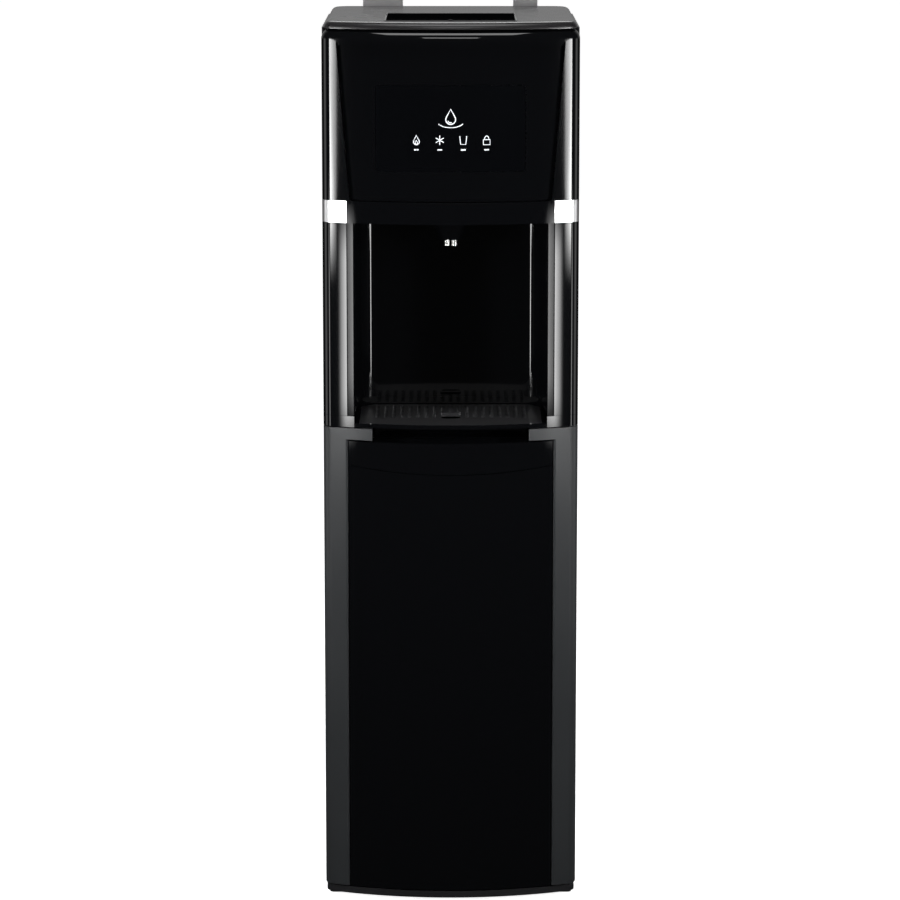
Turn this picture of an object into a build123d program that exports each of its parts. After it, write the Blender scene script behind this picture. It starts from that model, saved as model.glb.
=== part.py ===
import math
import os

from build123d import *

os.makedirs("parts", exist_ok=True)

# Driving dimensions, in millimetres. +X is the viewer's right, the front faces -Y, +Z is up.
HALF = 155  # half the cabinet's width
FRONT_Y = -180  # middle of the bowed front
BOW = 33  # how far the front's middle stands ahead of its sides
CORNER = 16  # rounding of the front's vertical corners
REAR_Y = 150  # outer face of the rear panel
TAIL_Y = 180  # back of the wall spacers
SHEET = 2  # steel sheet
WALL = 3  # moulded wall
FIT = 0.3  # gap between neighbouring parts
PIN_FIT = 0.05  # radial clearance of a pin in its bush

BASE_Z = 10  # underside of the base pan
DOOR_Z = 13.5  # bottom edge of the door
FLOOR_Z = 36  # floor that the bottle stands on
DOOR_TOP_Z = 573  # top edge of the door's front
ARM_TOP_Z = 589  # top of the door trims' inward arms
DECK_Z = 590.3  # underside of the band over the door
COLUMN_Z = 604  # foot of the columns beside the alcove
ALCOVE_TOP_Z = 839
HEAD_Z = 866  # foot of the head's full-width part
HEAD_TOP_Z = 1071
LID_TOP_Z = 1080
TOTAL_Z = 1095  # top of the wall spacers

PANEL_Y = -118  # front edge of the steel side panels
POST_Y = -127.5  # front of the posts that frame the door opening
DOOR_BACK_Y = -131  # inner face of the door
HINGE_X = 145
HINGE_Y = -140
PIN_R = 2.5
ALCOVE_HALF = 117
ALCOVE_BACK_Y = -10
DOOR_SPLIT = 124  # half-width of the door's glossy middle
ARM_SPLIT = 95  # half-width of the hand grip between the trims' arms

BOW_RADIUS = (HALF**2 + BOW**2) / (2 * BOW)
BOW_CENTRE_Y = FRONT_Y + BOW_RADIUS


def bow_y(x, inset=0):
    """Y of the bowed front at x, on a surface that is set back by inset."""
    return BOW_CENTRE_Y - math.sqrt((BOW_RADIUS - inset) ** 2 - x**2)


def bowed_plan(half, back, inset=0, corner=0):
    """Plan with a straight back and sides, a bowed front and rounded front corners."""
    side = bow_y(half, inset)
    with BuildSketch() as plan:
        with BuildLine():
            Polyline((-half, side), (-half, back), (half, back), (half, side))
            ThreePointArc((half, side), (0, bow_y(0, inset)), (-half, side))
        make_face()
        if corner:
            fillet(plan.vertices().group_by(Axis.Y)[0], radius=corner)
    return plan.sketch


def shell_plan(inset, back):
    """Plan of the whole front, set back evenly by inset."""
    return bowed_plan(HALF - inset, back, inset, CORNER - inset)


def bow_strip(half, outer, inner):
    """Curved strip between two insets, as wide as half on each side."""
    with BuildSketch() as strip:
        with BuildLine():
            ThreePointArc((-half, bow_y(half, outer)), (0, bow_y(0, outer)), (half, bow_y(half, outer)))
            Line((half, bow_y(half, outer)), (half, bow_y(half, inner)))
            ThreePointArc((half, bow_y(half, inner)), (0, bow_y(0, inner)), (-half, bow_y(half, inner)))
            Line((-half, bow_y(half, inner)), (-half, bow_y(half, outer)))
        make_face()
    return strip.sketch


def span(low, high):
    """Sketch of a plain rectangle between two corners."""
    with BuildSketch() as area:
        with Locations(((low[0] + high[0]) / 2, (low[1] + high[1]) / 2)):
            Rectangle(high[0] - low[0], high[1] - low[1])
    return area.sketch


def side_area(side, near, far, low_y, high_y):
    """Sketch of a rectangle on one side of the middle, from near to far."""
    edges = sorted((side * near, side * far))
    return span((edges[0], low_y), (edges[1], high_y))


def side_block(side, near, far, low, high, mode=Mode.ADD):
    """A box on one side of the middle; low and high hold its Y and Z."""
    edges = sorted((side * near, side * far))
    return block((edges[0], *low), (edges[1], *high), mode=mode)


def block(low, high, mode=Mode.ADD):
    """Adds or cuts a box between two corners in the part that is being built."""
    size = [b - a for a, b in zip(low, high)]
    middle = [(a + b) / 2 for a, b in zip(low, high)]
    with Locations(tuple(middle)):
        return Box(*size, mode=mode)


def write(builder, name):
    """Labels a finished part and writes its file."""
    builder.part.label = name
    export_step(builder.part, f"parts/{name}.step")


def tube(points, radii, outer, inner=0):
    """A hose or pipe through the points, its corners rounded by the radii."""
    with BuildPart() as pipe:
        with BuildLine() as route:
            FilletPolyline(*points, radius=radii)
        with BuildSketch(Plane(origin=route.line @ 0, z_dir=route.line % 0)):
            Circle(outer)
            if inner:
                Circle(inner, mode=Mode.SUBTRACT)
        sweep(path=route.line)
    return pipe.part


# Base pan: a folded steel sheet that everything stands on.
FLANGE_Z = 31
with BuildPart() as base_plate:
    block((-HALF + SHEET + FIT, PANEL_Y, BASE_Z), (HALF - SHEET - FIT, REAR_Y - SHEET - FIT, FLANGE_Z))
    block(
        (-HALF + 2 * SHEET + FIT, PANEL_Y - 1, BASE_Z + SHEET),
        (HALF - 2 * SHEET - FIT, REAR_Y - 2 * SHEET - FIT, FLANGE_Z),
        mode=Mode.SUBTRACT,
    )
    fillet(base_plate.edges().filter_by(Axis.Y).group_by(Axis.Z)[0], radius=1.5)
write(base_plate, "base_plate")

# Front plinth: the bowed bar under the door.
PLINTH_Z = 3.5
PLINTH_TOP_Z = DOOR_Z - 1.5
with BuildPart() as front_plinth:
    with BuildSketch(Plane.XY.offset(PLINTH_Z)):
        add(shell_plan(1.5, PANEL_Y - FIT))
    extrude(amount=BASE_Z - FIT - PLINTH_Z)
    with BuildSketch(Plane.XY.offset(BASE_Z - FIT)):
        add(shell_plan(1.5, PANEL_Y - FIT))
        add(span((HINGE_X - 12, HINGE_Y - 8), (HALF, -100)), mode=Mode.SUBTRACT)
    extrude(amount=PLINTH_TOP_Z - BASE_Z + FIT)
    with BuildSketch(Plane.XY.offset(PLINTH_Z)):
        add(bowed_plan(HALF - 24, PANEL_Y - FIT - WALL, 1.5 + WALL))
    extrude(amount=PLINTH_TOP_Z - PLINTH_Z - WALL, mode=Mode.SUBTRACT)
write(front_plinth, "front_plinth")

# Feet: rubber skids under the plinth's ends and round rubber feet at the back.
SKID_IN, SKID_OUT = 116, 150
REAR_FOOT_X, REAR_FOOT_Y = 122, 122
with BuildPart() as feet:
    for side in (-1, 1):
        with BuildSketch():
            with Locations((side * (SKID_IN + SKID_OUT) / 2, -132)):
                RectangleRounded(SKID_OUT - SKID_IN, 20, 5)
        extrude(amount=PLINTH_Z)
    with BuildSketch():
        with Locations((-REAR_FOOT_X, REAR_FOOT_Y), (REAR_FOOT_X, REAR_FOOT_Y)):
            Circle(15)
    extrude(amount=BASE_Z, taper=6)
write(feet, "feet")

# Side panels: painted steel sheets from the base to the lid, with a stiffening fold at the back.
def side_panel(side, name):
    """One side sheet, folded inwards behind the rear panel."""
    outer, inner = side * HALF, side * (HALF - SHEET)
    fold = side * (HALF - 14)
    with BuildPart() as panel:
        with BuildSketch(Plane.XY.offset(DOOR_Z)):
            add(span((min(outer, inner), PANEL_Y), (max(outer, inner), REAR_Y - SHEET - FIT)))
        extrude(amount=HEAD_TOP_Z - DOOR_Z)
        with BuildSketch(Plane.XY.offset(FLANGE_Z + FIT)):
            low, high = min(inner, fold), max(inner, fold)
            add(span((low, REAR_Y - 2 * SHEET - FIT), (high, REAR_Y - SHEET - FIT)))
        extrude(amount=HEAD_TOP_Z - FLANGE_Z - 20)
    write(panel, name)


side_panel(-1, "left_side_panel")
side_panel(1, "right_side_panel")

# Rear panel: one steel sheet, louvred behind the compressor, with holes for what passes through it.
SWITCH_X, SWITCH_Z = 105, 985
GLAND_X, GLAND_Z = 120, 70
DRAIN_X, DRAIN_Z = 0, 140
LINE_X = 126  # where the refrigerant pipes pass through
LINE_LOW_Z, LINE_HIGH_Z = 620, 900
SCREW_R = 2
SCREW_SPOTS = [(x, z) for x in (-145, 145) for z in (45, 330, 620, 910, 1050)]
with BuildPart() as rear_panel:
    block((-HALF, REAR_Y - SHEET, BASE_Z), (HALF, REAR_Y, HEAD_TOP_Z))
    with BuildSketch(Plane.XZ.offset(-REAR_Y)):
        with Locations((0, 700)):
            with GridLocations(60, 14, 3, 12):
                SlotOverall(46, 5)
        with Locations((SWITCH_X, SWITCH_Z)):
            Rectangle(50, 30)
        with Locations((GLAND_X, GLAND_Z)):
            Circle(8)
        with Locations((DRAIN_X, DRAIN_Z)):
            Circle(9)
        with Locations((LINE_X, LINE_LOW_Z), (LINE_X, LINE_HIGH_Z)):
            Circle(4)
        with Locations(*SCREW_SPOTS):
            Circle(SCREW_R + 0.2)
    extrude(amount=SHEET + 1, mode=Mode.SUBTRACT)
write(rear_panel, "rear_panel")

with BuildPart() as rear_panel_screws:
    with BuildSketch(Plane.XZ.offset(-REAR_Y)):
        with Locations(*SCREW_SPOTS):
            Circle(4)
    extrude(amount=-2)
    with BuildSketch(Plane.XZ.offset(-REAR_Y)):
        with Locations(*SCREW_SPOTS):
            Circle(SCREW_R - 0.1)
    extrude(amount=SHEET)
    fillet(rear_panel_screws.edges().group_by(Axis.Y)[-1], radius=0.8)
write(rear_panel_screws, "rear_panel_screws")

# Top cover: a moulded lid that overhangs the back, with an opening for a shallow well.
LID_Z = HEAD_TOP_Z + FIT
LID_INSET = 3
LID_BACK_Y = 172
SLOT_HALF = 79.5
SLOT_Y = (-151.5, -2)
with BuildPart() as top_cover:
    with BuildSketch(Plane.XY.offset(LID_Z)) as lid_plan:
        add(shell_plan(LID_INSET, LID_BACK_Y))
        fillet(lid_plan.vertices().group_by(Axis.Y)[-1], radius=24)
    extrude(amount=LID_TOP_Z - LID_Z)
    fillet(top_cover.faces().sort_by(Axis.Z)[-1].edges(), radius=8)
    with BuildSketch(Plane.XY.offset(LID_Z)) as lid_cavity:
        add(shell_plan(LID_INSET + WALL, LID_BACK_Y - WALL))
        fillet(lid_cavity.vertices().group_by(Axis.Y)[-1], radius=21)
    extrude(amount=LID_TOP_Z - LID_Z - 2 * WALL, mode=Mode.SUBTRACT)
    with BuildSketch(Plane.XY.offset(LID_Z)):
        add(span((-SLOT_HALF, SLOT_Y[0]), (SLOT_HALF, SLOT_Y[1])))
    extrude(amount=LID_TOP_Z - LID_Z, mode=Mode.SUBTRACT)
write(top_cover, "top_cover")

# Well insert: a black tray that lines the well, with a finger tab on its front wall.
INSERT_Z = LID_Z + 0.2
with BuildPart() as top_recess_insert:
    block(
        (-SLOT_HALF + FIT, SLOT_Y[0] + FIT, INSERT_Z),
        (SLOT_HALF - FIT, SLOT_Y[1] - FIT, LID_TOP_Z + 0.8),
    )
    block(
        (-SLOT_HALF + 2, SLOT_Y[0] + 2.5, INSERT_Z + 1.5),
        (SLOT_HALF - 2, SLOT_Y[1] - 2, LID_TOP_Z + 1),
        mode=Mode.SUBTRACT,
    )
    block((-2, SLOT_Y[0] + 2, LID_TOP_Z - 4), (2, SLOT_Y[0] + 5.5, LID_TOP_Z + 1.5))
write(top_recess_insert, "top_recess_insert")

# Wall spacers: two moulded tabs on the lid's back edge that keep the coil off the wall.
with BuildPart() as rear_spacers:
    for low, high in ((-112, -61), (80, 111)):
        block((low, LID_BACK_Y, LID_Z), (high, TAIL_Y, TOTAL_Z))
    fillet(rear_spacers.edges().filter_by(Axis.Y).group_by(Axis.Z)[-1], radius=4)
write(rear_spacers, "rear_spacers")

# Head shell: the moulded front of the head, with a tapered frame that widens downwards.
FASCIA_TOP_Z, FASCIA_BOTTOM_Z = 1052, 866
FASCIA_TOP_HALF, FASCIA_BOTTOM_HALF = 136, 121
FASCIA_INSET = 6
FRAME_DEPTH = 12
BAND_HALF = 125  # half-width of the black band between the accents


def fascia_outline(grow):
    """Front outline of the fascia, wider at the top, grown evenly by grow."""
    with BuildSketch() as outline:
        with BuildLine():
            Polyline(
                (-FASCIA_BOTTOM_HALF - grow, FASCIA_BOTTOM_Z - grow),
                (FASCIA_BOTTOM_HALF + grow, FASCIA_BOTTOM_Z - grow),
                (FASCIA_TOP_HALF + grow, FASCIA_TOP_Z + grow),
                (-FASCIA_TOP_HALF - grow, FASCIA_TOP_Z + grow),
                close=True,
            )
        make_face()
        fillet(outline.vertices(), radius=5)
    return outline.sketch


BEVEL_ENDS = (  # fascia half-width, back and height at the bevel's two ends
    (FASCIA_BOTTOM_HALF, -160, FASCIA_BOTTOM_Z - 4),
    (FASCIA_TOP_HALF, -152, FASCIA_TOP_Z + 4),
)
with BuildPart() as head_shell:
    with BuildSketch(Plane.XY.offset(ALCOVE_TOP_Z)):
        add(shell_plan(0, PANEL_Y - FIT))
    extrude(amount=HEAD_TOP_Z - ALCOVE_TOP_Z)
    fillet(head_shell.faces().sort_by(Axis.Z)[-1].edges().group_by(Axis.Y)[0], radius=12)
    with BuildSketch(Plane.XY.offset(ALCOVE_TOP_Z)):
        add(bowed_plan(HALF - WALL, PANEL_Y + 1, FRAME_DEPTH, 4))
    extrude(amount=HEAD_TOP_Z - ALCOVE_TOP_Z - WALL, mode=Mode.SUBTRACT)
    for side in (-1, 1):
        block(
            (side * (HALF + BAND_HALF) / 2 - (HALF - BAND_HALF) / 2, FRONT_Y, ALCOVE_TOP_Z),
            (side * (HALF + BAND_HALF) / 2 + (HALF - BAND_HALF) / 2, PANEL_Y, HEAD_Z),
            mode=Mode.SUBTRACT,
        )
    with BuildSketch(Plane.XZ.offset(-PANEL_Y)):
        add(fascia_outline(0.4))
    extrude(amount=FRONT_Y * -1, mode=Mode.SUBTRACT)
    for side in (-1, 1):
        for half, back, height in BEVEL_ENDS:
            inner, front = side * (half - 1), FRONT_Y - 10
            outer_front, outer_back = inner + side * 9, inner + side * 2
            with BuildSketch(Plane.XY.offset(height)):
                with BuildLine():
                    Polyline((inner, back), (inner, front), (outer_front, front), (outer_back, back), close=True)
                make_face()
        loft(mode=Mode.SUBTRACT)
write(head_shell, "head_shell")

# Fascia: the glossy tapered panel in the head's frame, with a window for the control lens.
LENS_HALF = 90
LENS_Z = (902, 1005)
LENS_MIDDLE = sum(LENS_Z) / 2
with BuildPart() as fascia_panel:
    with BuildSketch(Plane.XY.offset(FASCIA_BOTTOM_Z)):
        add(bow_strip(FASCIA_TOP_HALF, FASCIA_INSET, FASCIA_INSET + WALL))
    extrude(amount=FASCIA_TOP_Z - FASCIA_BOTTOM_Z)
    with BuildSketch(Plane.XZ):
        add(fascia_outline(0))
    extrude(amount=-FRONT_Y * 2, mode=Mode.INTERSECT)
    with BuildSketch(Plane.XZ):
        with Locations((0, LENS_MIDDLE)):
            RectangleRounded(2 * LENS_HALF, LENS_Z[1] - LENS_Z[0], 4)
    extrude(amount=-FRONT_Y * 2, mode=Mode.SUBTRACT)
write(fascia_panel, "fascia_panel")

with BuildPart() as control_lens:
    with BuildSketch(Plane.XY.offset(LENS_Z[0])):
        add(bow_strip(LENS_HALF, FASCIA_INSET, FASCIA_INSET + WALL - 0.5))
    extrude(amount=LENS_Z[1] - LENS_Z[0])
    with BuildSketch(Plane.XZ):
        with Locations((0, LENS_MIDDLE)):
            RectangleRounded(2 * (LENS_HALF - FIT), LENS_Z[1] - LENS_Z[0] - 2 * FIT, 4 - FIT)
    extrude(amount=-FRONT_Y * 2, mode=Mode.INTERSECT)
write(control_lens, "control_lens")

# Control board: the touch board behind the lens, with its connector and chips.
BOARD_Y = -157
with BuildPart() as control_board:
    block((-86, BOARD_Y, 908), (86, BOARD_Y + 1.6, 998))
    block((-70, BOARD_Y + 1.6, 915), (-40, BOARD_Y + 9, 925))
    block((10, BOARD_Y + 1.6, 940), (30, BOARD_Y + 4, 960))
    block((50, BOARD_Y + 1.6, 930), (62, BOARD_Y + 8, 970))
write(control_board, "control_board")

# Accents: two silver blocks at the head's lower corners.
with BuildPart() as side_accents:
    for side in (-1, 1):
        with BuildSketch(Plane.XY.offset(ALCOVE_TOP_Z + FIT)):
            add(shell_plan(0, PANEL_Y - FIT))
            add(side_area(side, BAND_HALF + FIT, HALF, FRONT_Y, PANEL_Y), mode=Mode.INTERSECT)
        extrude(amount=HEAD_Z - ALCOVE_TOP_Z - 2 * FIT)
write(side_accents, "side_accents")

# Columns: the glossy pillars beside the alcove, with a lip that covers the liner's edge.
LIP_BACK_Y = -146
LIP_BEVEL = 8  # width of the angled face that leads into the alcove
LIP_SLOPE = 0.49


def column(side):
    """One pillar, with its lip bevelled towards the alcove and a hollow behind."""
    with BuildPart() as pillar:
        with BuildSketch(Plane.XY.offset(COLUMN_Z)) as pillar_plan:
            add(shell_plan(0, PANEL_Y - FIT))
            add(side_area(side, ALCOVE_HALF, HALF, FRONT_Y, PANEL_Y), mode=Mode.INTERSECT)
            cut_x, cut_y = ALCOVE_HALF + LIP_BEVEL, bow_y(ALCOVE_HALF + LIP_BEVEL)
            with BuildLine():
                Polyline(
                    (side * cut_x, cut_y),
                    (side * cut_x, cut_y - LIP_BEVEL),
                    (side * (ALCOVE_HALF - 1), cut_y - LIP_BEVEL),
                    (side * (ALCOVE_HALF - 1), cut_y + LIP_SLOPE * (LIP_BEVEL + 1)),
                    close=True,
                )
            make_face(mode=Mode.SUBTRACT)
            for corner_x in (ALCOVE_HALF, cut_x):
                lip_corner = pillar_plan.vertices().sort_by_distance((side * corner_x, cut_y))[0]
                fillet(lip_corner, radius=1.5)
            add(side_area(side, ALCOVE_HALF - 1, ALCOVE_HALF + WALL, LIP_BACK_Y, -100), mode=Mode.SUBTRACT)
        extrude(amount=ALCOVE_TOP_Z - FIT - COLUMN_Z)
        with BuildSketch(Plane.XY.offset(COLUMN_Z)):
            add(bowed_plan(HALF - WALL, -100, WALL, CORNER - WALL))
            add(side_area(side, ALCOVE_HALF + LIP_BEVEL + 2, HALF, FRONT_Y, -100), mode=Mode.INTERSECT)
        extrude(amount=ALCOVE_TOP_Z - FIT - COLUMN_Z - WALL, mode=Mode.SUBTRACT)
    return pillar.part


with BuildPart() as alcove_columns:
    for side in (-1, 1):
        add(column(side))
write(alcove_columns, "alcove_columns")

# Tray deck: the band under the columns, with a channel that the drip tray slides in.
CHANNEL_Z = 572
CHANNEL_WALL = 2.5
TRAY_HALF = 92
RAIL_HALF = 100
with BuildPart() as tray_deck:
    with BuildSketch(Plane.XY.offset(DECK_Z)):
        add(shell_plan(0, PANEL_Y - FIT))
        add(span((-ALCOVE_HALF, -200), (ALCOVE_HALF, 0)), mode=Mode.SUBTRACT)
    extrude(amount=COLUMN_Z - FIT - DECK_Z)
    block(
        (-ALCOVE_HALF - CHANNEL_WALL, POST_Y, CHANNEL_Z),
        (ALCOVE_HALF + CHANNEL_WALL, ALCOVE_BACK_Y, CHANNEL_Z + CHANNEL_WALL),
    )
    for side in (-1, 1):
        low, high = (POST_Y, CHANNEL_Z), (ALCOVE_BACK_Y, COLUMN_Z - FIT)
        side_block(side, ALCOVE_HALF, ALCOVE_HALF + CHANNEL_WALL, low, high)
        side_block(side, RAIL_HALF, RAIL_HALF + 4, low, (ALCOVE_BACK_Y, DECK_Z - FIT))
    block(
        (-ALCOVE_HALF, ALCOVE_BACK_Y - CHANNEL_WALL, CHANNEL_Z),
        (ALCOVE_HALF, ALCOVE_BACK_Y, COLUMN_Z - FIT),
    )
write(tray_deck, "tray_deck")

# Alcove liner: the niche's side and back walls, drawn in towards the back.
LINER_FRONT_Y = LIP_BACK_Y + FIT
LINER_BACK_HALF = 112


def niche_plan(grow, corner):
    """Plan of the niche, grown outwards by the wall."""
    with BuildSketch() as niche:
        with BuildLine():
            Polyline(
                (-ALCOVE_HALF - grow, LINER_FRONT_Y),
                (-LINER_BACK_HALF - grow, ALCOVE_BACK_Y - CHANNEL_WALL + grow),
                (LINER_BACK_HALF + grow, ALCOVE_BACK_Y - CHANNEL_WALL + grow),
                (ALCOVE_HALF + grow, LINER_FRONT_Y),
                close=True,
            )
        make_face()
        fillet(niche.vertices().group_by(Axis.Y)[-1], radius=corner)
    return niche.sketch


with BuildPart() as alcove_liner:
    with BuildSketch(Plane.XY.offset(COLUMN_Z)):
        add(niche_plan(CHANNEL_WALL, 22 + CHANNEL_WALL))
        add(niche_plan(0, 22), mode=Mode.SUBTRACT)
    extrude(amount=ALCOVE_TOP_Z - FIT - COLUMN_Z)
write(alcove_liner, "alcove_liner")

# Alcove ceiling: the plate that carries the outlets and the valves.
NOZZLE_Y = -60
CEILING = 2.5
SPOUT_X = 4.6
SPOUT_R = 3.6
with BuildPart() as alcove_ceiling:
    with BuildSketch(Plane.XY.offset(ALCOVE_TOP_Z)):
        add(bowed_plan(BAND_HALF - FIT, ALCOVE_BACK_Y, FRAME_DEPTH + FIT))
        with Locations((0, NOZZLE_Y)):
            RectangleRounded(34.6, 30.6, 8.3, mode=Mode.SUBTRACT)
    extrude(amount=CEILING)
write(alcove_ceiling, "alcove_ceiling")

# Nozzle housing: a tapered shroud that hangs under the ceiling, holding both spouts.
NOZZLE_Z = 808
with BuildPart() as nozzle_housing:
    with BuildSketch(Plane.XY.offset(NOZZLE_Z)):
        with Locations((0, NOZZLE_Y)):
            RectangleRounded(28, 22, 8)
    with BuildSketch(Plane.XY.offset(ALCOVE_TOP_Z - FIT)):
        with Locations((0, NOZZLE_Y)):
            RectangleRounded(52, 46, 12)
    loft()
    with BuildSketch(Plane.XY.offset(ALCOVE_TOP_Z - FIT)):
        with Locations((0, NOZZLE_Y)):
            RectangleRounded(34, 30, 8)
    extrude(amount=CEILING + 4)
    with BuildSketch(Plane.XY.offset(NOZZLE_Z)):
        with Locations((-SPOUT_X, NOZZLE_Y), (SPOUT_X, NOZZLE_Y)):
            Circle(SPOUT_R + PIN_FIT)
    extrude(amount=50, mode=Mode.SUBTRACT)
write(nozzle_housing, "nozzle_housing")


SPOUT_LENGTH = 56
with BuildPart() as spouts:
    with BuildSketch(Plane.XY.offset(NOZZLE_Z - 8)):
        with Locations((-SPOUT_X, NOZZLE_Y), (SPOUT_X, NOZZLE_Y)):
            Circle(SPOUT_R)
            Circle(2.4, mode=Mode.SUBTRACT)
    extrude(amount=SPOUT_LENGTH)
write(spouts, "spouts")
VALVE_Z = NOZZLE_Z - 8 + SPOUT_LENGTH + FIT

# Drip tray: a shallow pan welded under a wide flange, with a rim along its bowed front.
TRAY_BACK_Y = -15
TRAY_Z = 575.5
FLANGE_TOP_Z = 593
RIM_Z = 595
PAN_JOINT = 0.02  # weld line between the pan and the flange
RIM_HALF = 112
RIM_CORNER = 25


def rim_plan(inset):
    """Plan inside the tray's rim, rounded at the back so that it passes the niche's corners."""
    with BuildSketch() as plan:
        add(bowed_plan(RIM_HALF - inset, TRAY_BACK_Y - 2 - inset, 5 + inset))
        fillet(plan.vertices().group_by(Axis.Y)[-1], radius=RIM_CORNER - inset)
    return plan.sketch


with BuildPart() as drip_tray:
    block((-TRAY_HALF, POST_Y + 1.5, TRAY_Z), (TRAY_HALF, TRAY_BACK_Y, DECK_Z - PAN_JOINT))
    with BuildSketch(Plane.XY.offset(DECK_Z)):
        add(bowed_plan(ALCOVE_HALF - 0.5, TRAY_BACK_Y, 2))
    extrude(amount=RIM_Z - DECK_Z)
    with BuildSketch(Plane.XY.offset(FLANGE_TOP_Z)):
        add(rim_plan(0))
    extrude(amount=RIM_Z - FLANGE_TOP_Z, mode=Mode.SUBTRACT)
    block(
        (-TRAY_HALF + 2, POST_Y + 3.5, TRAY_Z + 2),
        (TRAY_HALF - 2, TRAY_BACK_Y - 2, RIM_Z),
        mode=Mode.SUBTRACT,
    )
write(drip_tray, "drip_tray")

# Drip grille: a perforated plate in the tray's rim, with a finger hole and a raised tab.
GRILLE_Z = FLANGE_TOP_Z + FIT
GRILLE_THICK = 1.6
HOLE_PITCH = 10
with BuildPart() as drip_grille:
    with BuildSketch(Plane.XY.offset(GRILLE_Z)):
        add(rim_plan(1))
        with Locations((0, -72)):
            with GridLocations(HOLE_PITCH, HOLE_PITCH, 19, 9):
                Circle(3, mode=Mode.SUBTRACT)
        with Locations((0, -104)):
            RectangleRounded(34, 48, 8)
        with Locations((0, -112)):
            RectangleRounded(24, 24, 7, mode=Mode.SUBTRACT)
    extrude(amount=GRILLE_THICK)
    with BuildSketch(Plane.XY.offset(GRILLE_Z + GRILLE_THICK)):
        with Locations((0, -92)):
            RectangleRounded(26, 9, 3)
    extrude(amount=2.6)
write(drip_grille, "drip_grille")

# Door posts: bars that frame the opening; the left one holds the catch magnet.
POST_HALF = 138
CATCH_Z = (478, 522)
MAGNET_HALF = (141, 152)


with BuildPart() as door_posts:
    for side in (-1, 1):
        side_block(side, POST_HALF, HALF, (POST_Y, DOOR_Z), (PANEL_Y - FIT, ARM_TOP_Z))
    low, high = (POST_Y - 1, CATCH_Z[0] - 0.2), (-120, CATCH_Z[1] + 0.2)
    side_block(-1, MAGNET_HALF[0] - 0.2, MAGNET_HALF[1] + 0.2, low, high, mode=Mode.SUBTRACT)
write(door_posts, "door_posts")

with BuildPart() as catch_magnet:
    side_block(-1, *MAGNET_HALF, (POST_Y - 1.3, CATCH_Z[0]), (-120.2, CATCH_Z[1]))
    fillet(catch_magnet.edges().filter_by(Axis.Z).group_by(Axis.Y)[0], radius=1)
write(catch_magnet, "catch_magnet")

# Door liner: the flat inner skin, with a raised frame that stiffens it.
LINER_SKIN_Y = DOOR_BACK_Y - WALL
DOOR_HALF = HALF - 3
with BuildPart() as door_liner:
    block((-DOOR_HALF, LINER_SKIN_Y, DOOR_Z + 2), (DOOR_HALF - 14, DOOR_BACK_Y, DOOR_TOP_Z - 3))
    with BuildSketch(Plane.XZ.offset(-DOOR_BACK_Y)):
        with Locations((0, 290)):
            with GridLocations(110, 1, 2, 1):
                RectangleRounded(86, 440, 14)
    extrude(amount=1.5, mode=Mode.SUBTRACT)
write(door_liner, "door_liner")

# Door panel: the glossy bowed skin in the door's middle, with a smiling top edge.
CAP_Z = 543  # cap's lower edge at its sides
CAP_DIP = 9  # how much lower that edge is in the middle
SEAM = 0.7
SKIN_INSET = 0.8


def under_smile(top):
    """Front outline below a shallow curve that dips in the middle."""
    with BuildSketch() as smile:
        with BuildLine():
            Polyline((-DOOR_SPLIT, top), (-DOOR_SPLIT, DOOR_Z), (DOOR_SPLIT, DOOR_Z), (DOOR_SPLIT, top))
            ThreePointArc((DOOR_SPLIT, top), (0, top - CAP_DIP), (-DOOR_SPLIT, top))
        make_face()
    return smile.sketch


with BuildPart() as door_panel:
    with BuildSketch(Plane.XY.offset(DOOR_Z)):
        add(bow_strip(DOOR_SPLIT - FIT, SKIN_INSET, SKIN_INSET + WALL))
    extrude(amount=CAP_Z - DOOR_Z)
    with BuildSketch(Plane.XZ):
        add(under_smile(CAP_Z))
    extrude(amount=-FRONT_Y * 2, mode=Mode.INTERSECT)
write(door_panel, "door_panel")

# Door handle cap: closes the door's top, hollowed behind its front edge for the fingers.
SCOOP_HALF = 88
with BuildPart() as door_handle_cap:
    with BuildSketch(Plane.XY.offset(CAP_Z - CAP_DIP)):
        add(bowed_plan(DOOR_SPLIT - FIT, LINER_SKIN_Y - FIT, SKIN_INSET))
    extrude(amount=DOOR_TOP_Z - CAP_Z + CAP_DIP)
    with BuildSketch(Plane.XZ):
        add(under_smile(CAP_Z + SEAM))
    extrude(amount=-FRONT_Y * 2, mode=Mode.SUBTRACT)
    with BuildSketch(Plane.XY.offset(CAP_Z + 5)):
        add(bowed_plan(SCOOP_HALF, LINER_SKIN_Y - FIT - 3, SKIN_INSET + 4, 8))
    extrude(amount=DOOR_TOP_Z - CAP_Z, mode=Mode.SUBTRACT)
    with BuildSketch(Plane.XY.offset(CAP_Z - 20)):
        add(bowed_plan(DOOR_SPLIT - 4, LINER_SKIN_Y - FIT - 3, SKIN_INSET + 4))
    extrude(amount=22, mode=Mode.SUBTRACT)
write(door_handle_cap, "door_handle_cap")

# Door trims: the satin strips down the door's sides, each with an arm along its top.
BUSH_R = 4.2
BUSH_LENGTH = 13


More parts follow.
